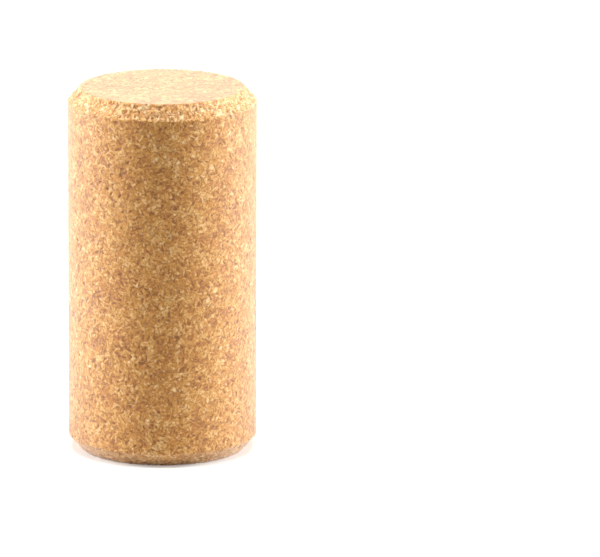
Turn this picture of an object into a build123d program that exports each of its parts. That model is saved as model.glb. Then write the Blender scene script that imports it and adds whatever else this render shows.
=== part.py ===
"""An agglomerated cork wine stopper: one straight cylinder of bound cork granules, bevelled at both ends.

The stopper is moulded as a rod of granules and binder, cut to length, and then ground on its
side, its ends and its bevels, so it is one solid turned about one axis.

Row frame: +Z runs along the stopper's axis, and the origin is the centre of its lower end face.
"""

import os

from build123d import *

# Driving dimensions, in millimetres
diameter = 23.0  # ground side, before the stopper is squeezed into a bottle neck
length = 45.0  # from end face to end face
bevel_inset = 1.5  # how far a bevel takes the end face in from the side
bevel_length = 1.7  # how far a bevel runs along the side
edge_round = 0.15  # soft corner that grinding leaves where two faces meet

# Worked out from them
side_radius = diameter / 2
end_radius = side_radius - bevel_inset
upper_bevel_start = length - bevel_length

# The stopper: half of its long section, turned once about its axis
with BuildPart() as cork_stopper:
    with BuildSketch(Plane.XZ):
        with BuildLine():
            Polyline(
                (0, 0),
                (end_radius, 0),
                (side_radius, bevel_length),
                (side_radius, upper_bevel_start),
                (end_radius, length),
                (0, length),
                close=True,
            )
        make_face()
    revolve(axis=Axis.Z)
    fillet(cork_stopper.edges().filter_by(GeomType.CIRCLE), radius=edge_round)

cork_stopper.part.label = "cork_stopper"

os.makedirs("parts", exist_ok=True)
export_step(cork_stopper.part, "parts/cork_stopper.step")

print("side radius", side_radius, "end radius", end_radius)
print("volume", round(cork_stopper.part.volume, 1), "mm3")
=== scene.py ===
# %% [markdown]
# # A ground agglomerated cork stopper, in Blender
#
# A micro-agglomerated stopper is natural cork that has been crushed to granules, mixed with a little
# binder and pressed. The rod is cut to length, then ground on its side, its ends and its bevels.
# Its shape is as plain as a shape can be, so nearly everything that the eye takes for cork is in the
# surface: the tone of each granule, the small pores, and the torn bevels.
#
# The lesson makes one piece that stands for the CAD stopper, one material, a floor, and soft light.
# Each step says what the real thing is, how it could be made here, and why this way was chosen.

import math

import bmesh
import bpy
import numpy as np
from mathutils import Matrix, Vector


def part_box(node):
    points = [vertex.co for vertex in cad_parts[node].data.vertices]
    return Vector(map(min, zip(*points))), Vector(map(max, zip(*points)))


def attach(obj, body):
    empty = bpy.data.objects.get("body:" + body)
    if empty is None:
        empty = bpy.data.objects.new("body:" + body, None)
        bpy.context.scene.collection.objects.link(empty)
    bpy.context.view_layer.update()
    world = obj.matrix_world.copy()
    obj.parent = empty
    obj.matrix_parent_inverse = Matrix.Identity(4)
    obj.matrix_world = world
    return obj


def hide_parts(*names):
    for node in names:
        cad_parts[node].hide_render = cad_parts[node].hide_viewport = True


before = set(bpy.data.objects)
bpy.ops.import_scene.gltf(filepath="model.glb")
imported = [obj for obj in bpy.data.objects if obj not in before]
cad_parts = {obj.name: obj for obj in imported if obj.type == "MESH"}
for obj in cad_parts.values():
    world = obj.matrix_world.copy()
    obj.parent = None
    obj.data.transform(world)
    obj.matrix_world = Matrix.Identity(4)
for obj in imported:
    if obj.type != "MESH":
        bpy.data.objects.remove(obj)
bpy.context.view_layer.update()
stopper_low, stopper_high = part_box("cork_stopper")
print("the stopper's box in mm:", [round(1000 * n, 2) for n in (*stopper_low, *stopper_high)])

# %% [markdown]
# ## Sizes
#
# Every length comes from the CAD stopper's box or from a size that can be measured on a real one.
# Blender works in metres and a maker works in millimetres, so one factor turns one into the other.

# %% Take the sizes from the CAD stopper
mm = 0.001
length = stopper_high.z - stopper_low.z
side_radius = (stopper_high.y - stopper_low.y) / 2
bevel_inset = 1.5 * mm
bevel_length = 1.7 * mm
end_radius = side_radius - bevel_inset
print("length", round(length / mm, 2), "mm, side radius", round(side_radius / mm, 2), "mm")

# %% [markdown]
# ## The blank
#
# The relief of ground cork is fine, so the blank needs small, even squares everywhere. A cylinder
# from the Add menu has long thin faces on its side and one huge polygon on each end. Rings that
# shrink to the middle of an end would crowd thousands of slivers there. Here each end is a square
# grid pressed round, so that its outermost squares line up with those of the side, and the blank is
# three grids joined at their edges: one rolled into the side with both bevels, and two ends.

# %% Choose how fine the grids are
squares_across_end = 88
squares_around = 4 * squares_across_end
square_size = 2 * math.pi * side_radius / squares_around
rows_up_bevel = round(math.hypot(bevel_inset, bevel_length) / square_size)
rows_up_side = round((length - 2 * bevel_length) / square_size)
rows_up = rows_up_side + 2 * rows_up_bevel
print("squares of", round(square_size / mm, 3), "mm,", squares_around, "around and", rows_up, "up")

# %% Number the corners of every square in a grid


def grid_squares(first_point, points_across, points_up):
    """The four point numbers of every square of a grid whose points are numbered row by row."""
    across = np.arange(points_across - 1)
    up = np.arange(points_up - 1) * points_across
    corner = first_point + (up[:, None] + across[None, :]).ravel()
    return np.stack([corner, corner + 1, corner + points_across + 1, corner + points_across], axis=1)


# %% Roll one grid into the side and both bevels
row = np.arange(rows_up + 1)
profile_rows = [0, rows_up_bevel, rows_up - rows_up_bevel, rows_up]
profile_radius = [end_radius, side_radius, side_radius, end_radius]
profile_height = [0, bevel_length, length - bevel_length, length]
row_radius = np.interp(row, profile_rows, profile_radius)
row_height = np.interp(row, profile_rows, profile_height)
column_angle = np.linspace(0, 2 * math.pi, squares_around + 1)
side_points = np.stack(
    [
        np.outer(row_radius, np.cos(column_angle)),
        np.outer(row_radius, np.sin(column_angle)),
        np.outer(row_height, np.ones(squares_around + 1)),
    ],
    axis=-1,
).reshape(-1, 3)
side_squares = grid_squares(0, squares_around + 1, rows_up + 1)
print("side:", len(side_squares), "squares")

# %% Press a square grid round for each end
along = np.linspace(-1, 1, squares_across_end + 1)
grid_x, grid_y = (axis.ravel() for axis in np.meshgrid(along, along))
ring = np.maximum(np.abs(grid_x), np.abs(grid_y))
wide = np.abs(grid_x) >= np.abs(grid_y)
signed_ring = np.where(wide, grid_x, grid_y)
shorter = np.where(wide, grid_y, grid_x)
slope = np.divide(shorter, signed_ring, out=np.zeros_like(ring), where=ring > 0)
turn = np.where(wide, math.pi / 4 * slope, math.pi / 2 - math.pi / 4 * slope)
end_x = end_radius * signed_ring * np.cos(turn)
end_y = end_radius * signed_ring * np.sin(turn)
lower_points = np.stack([end_x, end_y, np.zeros_like(end_x)], axis=-1)
upper_points = np.stack([end_x, end_y, np.full_like(end_x, length)], axis=-1)
points_per_end = squares_across_end + 1
lower_squares = grid_squares(len(side_points), points_per_end, points_per_end)[:, ::-1]
upper_squares = grid_squares(len(side_points) + len(lower_points), points_per_end, points_per_end)
print("each end:", len(lower_squares), "squares")

# %% [markdown]
# ## The flat map
#
# A pattern in solid coordinates needs no flat map, but a game engine or a web viewer gets its
# colours as a picture, and that picture needs one. The real stopper's skin unrolls like the label of
# a tin: the side is a strip, and the ends lie beside it as discs at the same scale.

# %% Lay the skin out flat
map_width = 2 * math.pi * side_radius
gap = 0.006
bevel_slant = math.hypot(bevel_inset, bevel_length)
side_height = length - 2 * bevel_length
skin_profile = [0, bevel_slant, bevel_slant + side_height, 2 * bevel_slant + side_height]
skin_heights = np.interp(row, profile_rows, skin_profile)
strip_scale = (1 - 2 * gap) / map_width
strip_u = np.tile(gap + column_angle * side_radius * strip_scale, rows_up + 1)
strip_v = np.repeat(gap + skin_heights * strip_scale, squares_around + 1)
disc_and_gap = gap + end_radius * strip_scale
disc_u = end_x * strip_scale
disc_v = strip_v.max() + disc_and_gap + end_y * strip_scale
lower_disc_u = disc_and_gap - disc_u
upper_disc_u = 3 * disc_and_gap + disc_u
flat_map = np.concatenate(
    [
        np.stack([strip_u, strip_v], axis=1),
        np.stack([lower_disc_u, disc_v], axis=1),
        np.stack([upper_disc_u, disc_v], axis=1),
    ]
)
print("the flat map fills", flat_map.min(axis=0).round(3), "to", flat_map.max(axis=0).round(3))

# %% [markdown]
# ## Marks for the bevels and the ends
#
# The bevels are torn and the ends are sawn, so the relief and the finish need to know where they are.
# A vertex group would do for one modifier. A named attribute can be read by both a geometry tree and
# a material, so each point gets a number from 0 to 1 for the bevel and one for the end. The points
# on an edge get half, which keeps the edge soft. The foot was ground more gently than the head.

# %% Mark the bevels and the ends
upper_wear = 1.0
lower_wear = 0.4
first_upper_row = rows_up - rows_up_bevel
on_bevel = lower_wear * (row < rows_up_bevel) + upper_wear * (row > first_upper_row)
on_bevel[[0, rows_up_bevel]] = lower_wear / 2
on_bevel[[first_upper_row, rows_up]] = upper_wear / 2
inside_rim = 0.999
on_end = (ring < inside_rim).astype(float)
at_rim = 1 - on_end
rims = [at_rim * lower_wear / 2, at_rim * upper_wear / 2]
bevel_mark = np.concatenate([np.repeat(on_bevel, squares_around + 1), *rims])
end_mark = np.concatenate([np.zeros(len(side_points)), on_end, on_end])
print("points on the bevels:", int((bevel_mark > 0).sum()), "on the ends:", int(end_mark.sum()))

# %% Join the three grids
weld_distance = 0.01 * mm
points = np.concatenate([side_points, lower_points, upper_points])
squares = np.concatenate([side_squares, lower_squares, upper_squares])
blank = bpy.data.meshes.new("ground_cork")
blank.from_pydata(points.tolist(), [], squares.tolist())
for name, marks in (("bevel", bevel_mark), ("end", end_mark)):
    blank.attributes.new(name, "FLOAT", "POINT").data.foreach_set("value", marks)
corner_points = np.zeros(len(blank.loops), np.int32)
blank.loops.foreach_get("vertex_index", corner_points)
blank.uv_layers.new(name="OFBake").uv.foreach_set("vector", flat_map[corner_points].ravel())
skin = bmesh.new()
skin.from_mesh(blank)
bmesh.ops.remove_doubles(skin, verts=skin.verts, dist=weld_distance)
skin.to_mesh(blank)
skin.free()
blank.shade_smooth()
ground_cork = bpy.data.objects.new("ground_cork", blank)
bpy.context.scene.collection.objects.link(ground_cork)
print("blank:", len(blank.vertices), "points,", len(blank.polygons), "squares")

# %% [markdown]
# ## Two helpers for nodes
#
# A person picks colours as hex codes, which are spaced for the eye. A renderer adds light up, so it
# needs the linear amounts. One helper turns the first into the second. The other adds a node of any
# kind, with its settings and its links, so that a node tree reads from top to bottom like a recipe.

# %% Turn hex colours to linear


def paint(hex_colour):
    """A hex colour as Blender's linear red, green, blue and alpha."""
    shares = [int(hex_colour[i : i + 2], 16) / 255 for i in (1, 3, 5)]
    linear = [s / 12.92 if s <= 0.04045 else ((s + 0.055) / 1.055) ** 2.4 for s in shares]
    return (*linear, 1.0)


print("the golden brown of a granule, linear:", [round(n, 3) for n in paint("#BF8234")])

# %% Add a node with its settings and links


def add(tree, kind, settings=None, inputs=None):
    """Adds one node. An input, by name or number, takes a value, a socket or another node."""
    node = tree.nodes.new(kind)
    for name, value in (settings or {}).items():
        setattr(node, name, value)
    for name, value in (inputs or {}).items():
        usable = [s for s in node.inputs if s.enabled]
        socket = usable[name] if isinstance(name, int) else next(s for s in usable if s.name == name)
        if isinstance(value, bpy.types.Node):
            value = next(s for s in value.outputs if s.enabled)
        if isinstance(value, bpy.types.NodeSocket):
            tree.links.new(value, socket)
        else:
            socket.default_value = value
    return node


# %% [markdown]
# ## A pattern for both shape and colour
#
# A pore is a hole and it is dark, so its dent and its colour have to fall on the same place. A
# picture could hold both, but it would stretch over the ends. Here the pattern is solid: noise and
# Voronoi textures in space, as real granules are cut through wherever the grinder stops. It is drawn
# twice, in a geometry tree that moves the points and in the material that colours them. Blender has
# the same texture nodes in both, so both see the same granules.
#
# A micro-agglomerate is made of granules 0.5 to 2 mm across. Each is a piece of bark with growth
# rings of its own, so it shows short streaks in a direction of its own.

# %% Write the real sizes of the pattern, in mm
granule_size = 1.25
chip_size = 0.70
wander_size = 0.60
wander_reach = 0.60
streak_width = 0.14  # a growth ring's dark line is thinner: this is as coarse as it needs to show
streak_stretch = 0.86
speck_size = 0.16
cloud_size = 3.30
print("granules of", granule_size, "mm, chips of", chip_size, "mm, streaks of", streak_width, "mm")

# %% Bend space a little, so that no granule has a straight side


def bend(tree, place):
    """A place in metres as one in millimetres that wanders here and there."""
    vector = "ShaderNodeVectorMath"
    in_mm = add(tree, vector, {"operation": "SCALE"}, {"Vector": place, "Scale": 1 / mm})
    size = {"Vector": in_mm, "Scale": 1 / wander_size, "Detail": 3.0}
    wander = add(tree, "ShaderNodeTexNoise", {}, size).outputs["Color"]
    reach = (wander_reach, wander_reach, wander_reach)
    return add(tree, vector, {"operation": "MULTIPLY_ADD"}, {0: wander, 1: reach, 2: in_mm})


# %% Draw streaks in a direction of each chip's own


def draw_streaks(tree, bent, chip):
    """Noise that is drawn out along the direction that each chip's random colour points in."""
    vector = "ShaderNodeVectorMath"
    middle = (0.5, 0.5, 0.5)
    lean = add(tree, vector, {"operation": "SUBTRACT"}, {0: chip.outputs["Color"], 1: middle})
    lean = add(tree, vector, {"operation": "NORMALIZE"}, {0: lean})
    along_lean = add(tree, vector, {"operation": "DOT_PRODUCT"}, {0: lean, 1: bent})
    squeeze = add(tree, "ShaderNodeMath", {"operation": "MULTIPLY"}, {0: along_lean, 1: -streak_stretch})
    drawn_out = add(tree, vector, {"operation": "SCALE"}, {"Vector": lean, "Scale": squeeze})
    drawn_out = add(tree, vector, {"operation": "ADD"}, {0: drawn_out, 1: bent})
    size = {"Vector": drawn_out, "Scale": 0.5 / streak_width, "Detail": 1.0}
    return add(tree, "ShaderNodeTexNoise", {}, size)


# %% Add up the tone from large to small
granule_share = 0.10
chip_share = 0.22
streak_share = 1.15
speck_share = 0.75
cloud_share = 0.30


def draw_tone(tree, bent, granule, chip, streak):
    """The tone of pressed cork, from 0, dark, over 0.5, usual, to 1, pale."""
    speck = add(tree, "ShaderNodeTexNoise", {}, {"Vector": bent, "Scale": 0.5 / speck_size, "Detail": 2.0})
    cloud = add(tree, "ShaderNodeTexNoise", {}, {"Vector": bent, "Scale": 1 / cloud_size, "Detail": 2.0})
    granule_pick = add(tree, "ShaderNodeSeparateXYZ", {}, {0: granule.outputs["Color"]}).outputs[0]
    chip_pick = add(tree, "ShaderNodeSeparateXYZ", {}, {0: chip.outputs["Color"]}).outputs[1]
    tone = 0.5
    for part, share in (
        (granule_pick, granule_share),
        (chip_pick, chip_share),
        (streak, streak_share),
        (speck, speck_share),
        (cloud, cloud_share),
    ):
        from_middle = add(tree, "ShaderNodeMath", {"operation": "SUBTRACT"}, {0: part, 1: 0.5})
        tone = add(
            tree, "ShaderNodeMath", {"operation": "MULTIPLY_ADD"}, {0: from_middle, 1: share, 2: tone}
        )
    return tone


# %% Find the pores
pore_spacing = 0.62
widest_pore_radius = 0.19
pore_share = 0.60


def draw_inside_of_pores(tree, bent):
    """Above 0 inside a pore. Some cells hold none, and the others hold one of a size of their own."""
    cell = add(tree, "ShaderNodeTexVoronoi", {}, {"Vector": bent, "Scale": 1 / pore_spacing})
    pick = add(tree, "ShaderNodeSeparateXYZ", {}, {0: cell.outputs["Color"]}).outputs[2]
    sizes = {"Value": pick, "From Min": 1 - pore_share, "To Max": widest_pore_radius / pore_spacing}
    reach = add(tree, "ShaderNodeMapRange", {}, sizes)
    return add(tree, "ShaderNodeMath", {"operation": "SUBTRACT"}, {0: reach, 1: cell.outputs["Distance"]})


# %% Put the pattern together
joint_width = 0.04
gape_size = 0.90


def draw_cork(tree, place, bevel):
    """Tone, hue and the shares of fleck, comma, joint and pore of pressed cork at a place in metres."""
    bent = bend(tree, place)
    granule = add(tree, "ShaderNodeTexVoronoi", {}, {"Vector": bent, "Scale": 1 / granule_size})
    chip = add(tree, "ShaderNodeTexVoronoi", {}, {"Vector": bent, "Scale": 1 / chip_size})
    to_edge = {"feature": "DISTANCE_TO_EDGE"}
    chip_edge = add(tree, "ShaderNodeTexVoronoi", to_edge, {"Vector": bent, "Scale": 1 / chip_size})
    gape = add(tree, "ShaderNodeTexNoise", {}, {"Vector": bent, "Scale": 1 / gape_size, "Detail": 1.0})
    streak = draw_streaks(tree, bent, chip)
    cork = {"bent": bent, "tone": draw_tone(tree, bent, granule, chip, streak)}
    cork["hue"] = add(tree, "ShaderNodeSeparateXYZ", {}, {0: granule.outputs["Color"]}).outputs[1]
    for name, source, none, full in (
        ("fleck", streak, 0.60, 0.74),
        ("comma", streak, 0.40, 0.30),
        ("joint", chip_edge, 2 * joint_width / chip_size, 0.0),
        ("gape", gape, 0.44, 0.62),
        ("pore", draw_inside_of_pores(tree, bent), -0.03, 0.06),
    ):
        smooth = {"interpolation_type": "SMOOTHSTEP"}
        limits = {"Value": source, "From Min": none, "From Max": full}
        cork[name] = add(tree, "ShaderNodeMapRange", smooth, limits)
    gape_or_bevel = add(tree, "ShaderNodeMath", {"operation": "MAXIMUM"}, {0: cork["gape"], 1: bevel})
    cork["joint"] = add(
        tree, "ShaderNodeMath", {"operation": "MULTIPLY"}, {0: cork["joint"], 1: gape_or_bevel}
    )
    return cork


# %% [markdown]
# ## The relief
#
# The grinder leaves the side nearly smooth: pores are small pits, and pale, hard chips stand a few
# hundredths of a millimetre proud. The ends are cut flat, so their relief is lower still. On a bevel
# the grinder cuts across unsupported granules and tears some out, so the bevel is much rougher.
#
# A Displace modifier would need a texture of the old kind, which is not the one that the material
# sees. A Geometry Nodes tree takes the same nodes as the material, and its result is applied, so
# that the shape is in the mesh itself. It also stores where each point was before and how deep it
# went, for the material to use.

# %% Open the relief's tree
relief = bpy.data.node_groups.new("cork_relief", "GeometryNodeTree")
for direction in ("INPUT", "OUTPUT"):
    relief.interface.new_socket("Geometry", in_out=direction, socket_type="NodeSocketGeometry")
blank_in = add(relief, "NodeGroupInput")
ground_place = add(relief, "GeometryNodeInputPosition")
by_name = {"data_type": "FLOAT"}
bevel = add(relief, "GeometryNodeInputNamedAttribute", by_name, {"Name": "bevel"})
end = add(relief, "GeometryNodeInputNamedAttribute", by_name, {"Name": "end"})
shape = draw_cork(relief, ground_place, bevel)
print("nodes in the pattern:", len(relief.nodes))

# %% Work out how deep each point goes, in mm
grain_height = 0.05
pit_depths = {"pore": 0.12, "comma": 0.04, "joint": 0.07}
end_smoothness = 0.4
depth = add(
    relief,
    "ShaderNodeMapRange",
    {},
    {"Value": shape["tone"], "To Min": grain_height / 2, "To Max": -grain_height / 2},
)
for pit, pit_depth in pit_depths.items():
    depth = add(
        relief, "ShaderNodeMath", {"operation": "MULTIPLY_ADD"}, {0: shape[pit], 1: pit_depth, 2: depth}
    )
smoothing = add(relief, "ShaderNodeMapRange", {}, {"Value": end, "To Min": 1.0, "To Max": end_smoothness})
depth = add(relief, "ShaderNodeMath", {"operation": "MULTIPLY"}, {0: depth, 1: smoothing})
print("pits, in mm:", pit_depths)

# %% Tear the bevels
tear_size = 0.36
highest_lump = 0.05
deepest_tear = 0.24
tear = add(
    relief,
    "ShaderNodeTexNoise",
    {},
    {"Vector": shape["bent"], "Scale": 1 / tear_size, "Detail": 3.0, "Roughness": 0.65},
)
tear_limits = {"From Min": 0.40, "From Max": 0.66, "To Min": -highest_lump, "To Max": deepest_tear}
tear = add(relief, "ShaderNodeMapRange", {}, {"Value": tear, **tear_limits})
depth = add(relief, "ShaderNodeMath", {"operation": "MULTIPLY_ADD"}, {0: tear, 1: bevel, 2: depth})
print("tears from", -highest_lump, "to", deepest_tear, "mm")

# %% Store the old place and the depth, then push the points in
stored = blank_in
for name, data_type, value in (("ground_place", "FLOAT_VECTOR", ground_place), ("depth", "FLOAT", depth)):
    stored = add(
        relief,
        "GeometryNodeStoreNamedAttribute",
        {"data_type": data_type, "domain": "POINT"},
        {"Geometry": stored, "Name": name, "Value": value},
    )
inward = add(relief, "ShaderNodeMath", {"operation": "MULTIPLY"}, {0: depth, 1: -mm})
normal = add(relief, "GeometryNodeInputNormal")
push = add(relief, "ShaderNodeVectorMath", {"operation": "SCALE"}, {"Vector": normal, "Scale": inward})
pushed = add(relief, "GeometryNodeSetPosition", {}, {"Geometry": stored, "Offset": push})
add(relief, "NodeGroupOutput", {}, {0: pushed})
print("nodes in the relief:", len(relief.nodes))

# %% Apply the relief to the mesh
ground_cork.modifiers.new("cork_relief", "NODES").node_group = relief
with_relief = ground_cork.evaluated_get(bpy.context.evaluated_depsgraph_get())
worked = bpy.data.meshes.new_from_object(with_relief)
ground_cork.modifiers.clear()
ground_cork.data = worked
worked.name = "ground_cork"
depths = np.zeros(len(worked.vertices))
worked.attributes["depth"].data.foreach_get("value", depths)
print("ground cork:", len(worked.vertices), "points")
print("depth from", depths.min().round(2), "to", depths.max().round(2), "mm")

# %% [markdown]
# ## Ground agglomerated cork
#
# The finish is natural cork bark, crushed, bonded and ground, then coated very thinly with wax so
# that it slides. Bark is a warm, golden brown. Its cells are cut open by grinding, and their
# edges catch light from the side as the fibres of velvet do: the shader's sheen gives that pale veil
# at the rim. Wax adds a weak, wide gloss. Plant cell walls and wax both have an IOR near 1.45. The
# specular level was set by trial, a little under its usual 0.5. The roughness of the ground side is
# near 0.5. A torn bevel is rougher, and a sawn end is the roughest, which spreads a lamp's
# reflection until it no longer turns white.
#
# The colours run from the dark brown of a ring's late cells to the pale gold of its early ones. All
# granules share that run, and some are a little rosier than others.

# %% Start the material from what the relief stored
cork_finish = bpy.data.materials.new("ground_agglomerated_cork")
cork_finish.use_nodes = True
tree = cork_finish.node_tree
tree.nodes.clear()
place = add(tree, "ShaderNodeAttribute", {"attribute_name": "ground_place"}).outputs["Vector"]
bevel = add(tree, "ShaderNodeAttribute", {"attribute_name": "bevel"}).outputs["Fac"]
end = add(tree, "ShaderNodeAttribute", {"attribute_name": "end"}).outputs["Fac"]
depth = add(tree, "ShaderNodeAttribute", {"attribute_name": "depth"}).outputs["Fac"]
look = draw_cork(tree, place, bevel)
print("nodes in the pattern:", len(tree.nodes))

# %% Run the tones from dark brown to pale gold
tear_paleness_and_highlight = 0.17
granule_colours = {
    0.00: "#78420A",
    0.22: "#9A590E",
    0.42: "#B97818",
    0.58: "#CA9038",
    0.78: "#E0B270",
    1.00: "#F2D4A4",
}
# The bevels are paler: partly the fresher cork of a tear, partly a painted highlight of the light that
# falls on them.
tone = add(
    tree, "ShaderNodeMath", {"operation": "MULTIPLY_ADD"}, {0: bevel, 1: tear_paleness_and_highlight, 2: look["tone"]}
)
tones = add(tree, "ShaderNodeValToRGB", {}, {0: tone})
stops = tones.color_ramp.elements
while len(stops) < len(granule_colours):
    stops.new(0.5)
for stop, (position, colour) in zip(stops, granule_colours.items()):
    stop.position = position
    stop.color = paint(colour)
print("tones:", len(stops))

# %% Stain the flecks, commas, joints and pores, and paint shade into the deep tears
hue_limits = {"Value": look["hue"], "From Min": 0.55, "To Max": 1.0}
rosy = add(tree, "ShaderNodeMapRange", {}, hue_limits)
smooth = {"interpolation_type": "SMOOTHSTEP"}
# Darker where a bevel's tears are deep: this is painted shade in the hollows.
tear_depths = {"Value": depth, "From Min": 0.10, "From Max": 0.30}
tear_shade = add(tree, "ShaderNodeMapRange", smooth, tear_depths)
tear_shade = add(tree, "ShaderNodeMath", {"operation": "MULTIPLY"}, {0: tear_shade, 1: bevel})
colour = tones
for mark, strength, stain in (
    (rosy, 0.14, "#DA8B41"),
    (look["fleck"], 0.22, "#ECC27A"),
    (look["comma"], 0.75, "#874A06"),
    (look["joint"], 0.50, "#874A06"),
    (look["pore"], 0.70, "#844A0A"),
    (tear_shade, 0.50, "#874A06"),
):
    share = add(tree, "ShaderNodeMath", {"operation": "MULTIPLY"}, {0: mark, 1: strength})
    colour = add(
        tree, "ShaderNodeMix", {"data_type": "RGBA"}, {"Factor": share, "A": colour, "B": paint(stain)}
    )

# %% Give it grain, wax gloss and a velvet veil
grain_bump = 0.05 * mm
smoothest = 0.42
roughest = 0.54
torn_roughness = 0.15
sawn_roughness = 0.35
height = add(tree, "ShaderNodeMath", {"operation": "SUBTRACT"}, {0: look["tone"], 1: look["pore"]})
bump = add(tree, "ShaderNodeBump", {}, {"Height": height, "Distance": grain_bump, "Strength": 0.5})
roughness = add(
    tree, "ShaderNodeMapRange", {}, {"Value": look["tone"], "To Min": roughest, "To Max": smoothest}
)
for place_mark, more in ((bevel, torn_roughness), (end, sawn_roughness)):
    roughness = add(
        tree, "ShaderNodeMath", {"operation": "MULTIPLY_ADD"}, {0: place_mark, 1: more, 2: roughness}
    )
surface = add(
    tree,
    "ShaderNodeBsdfPrincipled",
    {},
    {
        "Base Color": colour,
        "Roughness": roughness,
        "IOR": 1.45,
        "Specular IOR Level": 0.4,
        "Sheen Weight": 0.5,
        "Sheen Roughness": 0.6,
        "Normal": bump,
    },
)
add(tree, "ShaderNodeOutputMaterial", {}, {"Surface": surface})
ground_cork.data.materials.append(cork_finish)
print("nodes in the material:", len(tree.nodes))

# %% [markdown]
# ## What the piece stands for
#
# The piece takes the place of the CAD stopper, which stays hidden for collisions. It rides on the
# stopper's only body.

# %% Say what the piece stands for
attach(ground_cork, "root")
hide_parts("cork_stopper")
print(ground_cork.name, "stands for cork_stopper")

# %% [markdown]
# ## The table
#
# The stopper stands on a plain white table. More light would make it white, but it would wash out
# the cork as well. So the table keeps a matte pale grey of its own, which takes the soft shadow, and
# glows a little only for rays that come from the camera or from a reflection.

# %% Lay the table
table_half_width = 2.0
table_glow = 0.25
table_mesh = bpy.data.meshes.new("table")
sheet = bmesh.new()
bmesh.ops.create_grid(sheet, x_segments=1, y_segments=1, size=table_half_width)
sheet.to_mesh(table_mesh)
sheet.free()
table = bpy.data.objects.new("table", table_mesh)
bpy.context.scene.collection.objects.link(table)
print("table:", 2 * table_half_width, "m square")

# %% Add up the rays that see a plain white room


def plainly_seen(tree):
    """1 for rays from the camera, a gloss or a glass, and 0 for the rays that light the cork."""
    ray = add(tree, "ShaderNodeLightPath")
    seen = ray.outputs["Is Camera Ray"]
    for kind in ("Is Glossy Ray", "Is Transmission Ray"):
        seen = add(tree, "ShaderNodeMath", {"operation": "MAXIMUM"}, {0: seen, 1: ray.outputs[kind]})
    return seen


# %% Paint the table matte white
white_table = bpy.data.materials.new("matte_white_table")
white_table.use_nodes = True
tree = white_table.node_tree
tree.nodes.clear()
glow = add(tree, "ShaderNodeMath", {"operation": "MULTIPLY"}, {0: plainly_seen(tree), 1: table_glow})
matte = add(tree, "ShaderNodeBsdfDiffuse", {}, {"Color": paint("#DADADA")})
glowing = add(tree, "ShaderNodeEmission", {}, {"Color": paint("#FFFFFF"), "Strength": glow})
table_top = add(tree, "ShaderNodeAddShader", {}, {0: matte, 1: glowing})
add(tree, "ShaderNodeOutputMaterial", {}, {"Surface": table_top})
table_mesh.materials.append(white_table)
print("the table glows by", table_glow)

# %% [markdown]
# ## The room
#
# The room is white where it is seen, and dim where it lights the cork, so that the lamps shape it.

# %% Paint the room
room_level = 0.10
scene = bpy.context.scene
studio = bpy.data.worlds.new("studio")
scene.world = studio
studio.use_nodes = True
tree = studio.node_tree
tree.nodes.clear()
level = add(
    tree, "ShaderNodeMapRange", {}, {"Value": plainly_seen(tree), "To Min": room_level, "To Max": 1.0}
)
walls = add(tree, "ShaderNodeBackground", {}, {"Color": paint("#FFFFFF"), "Strength": level})
add(tree, "ShaderNodeOutputWorld", {}, {"Surface": walls})
print("the room lights the cork at", room_level, "of white")

# %% [markdown]
# ## The lamps
#
# Small goods are often lit by two tall softboxes, one on each side, and a third overhead. The sides
# of a round thing then come out pale and its middle deep, and the top face is bright. A softbox is
# a rectangular area lamp. Its power is worked out from how bright its face is, so that a
# lamp of another size at the same level looks the same.

# %% Hang a softbox


def hang_softbox(name, centre, aim, width, height, level):
    """A rectangular lamp at centre that faces aim, with a face level times as bright as white."""
    lamp = bpy.data.lights.new(name, "AREA")
    lamp.shape = "RECTANGLE"
    lamp.size = width
    lamp.size_y = height
    lamp.energy = 4 * level * width * height
    softbox = bpy.data.objects.new(name, lamp)
    softbox.location = centre
    softbox.rotation_euler = (Vector(aim) - Vector(centre)).to_track_quat("-Z", "Y").to_euler()
    softbox.visible_camera = False
    scene.collection.objects.link(softbox)
    print(name, round(lamp.energy, 2), "W")


# %% Hang one on each side and one overhead
middle = (0.0, 0.0, length / 2)
side_level = 12.2
top_level = 5.5
for name, side in (("left_softbox", -1), ("right_softbox", 1)):
    hang_softbox(name, (side * 0.36, 0.04, 0.12), middle, 0.14, 0.40, side_level)
hang_softbox("top_softbox", (0.0, 0.0, 0.50), middle, 0.40, 0.30, top_level)

# %% [markdown]
# ## The camera
#
# A long lens from over a metre away looks down on the stopper by about 14 degrees, so that its sides
# stay nearly parallel and the top face shows as a narrow ellipse. The stopper stands left of the
# middle. The aim point is given in the stopper's own frame.

# %% Set up the camera
lens_width = 36.0
focal_length = 600.0
camera_pitch = math.radians(13.72)
camera_roll = math.radians(0.168)
camera_distance = 1221.0 * mm
aim = Vector((16.80 * mm, 0.0, 21.02 * mm))
lens = bpy.data.cameras.new("camera")
lens.lens = focal_length
lens.sensor_width = lens_width
camera = bpy.data.objects.new("camera", lens)
towards_camera = Vector((0.0, -math.cos(camera_pitch), math.sin(camera_pitch)))
camera.location = aim + camera_distance * towards_camera
camera.rotation_euler = towards_camera.to_track_quat("Z", "Y").to_euler()
camera.rotation_euler.rotate_axis("Z", camera_roll)
scene.collection.objects.link(camera)
scene.camera = camera
scene.view_settings.view_transform = "Standard"
print("camera", round(camera_distance, 3), "m from its aim")
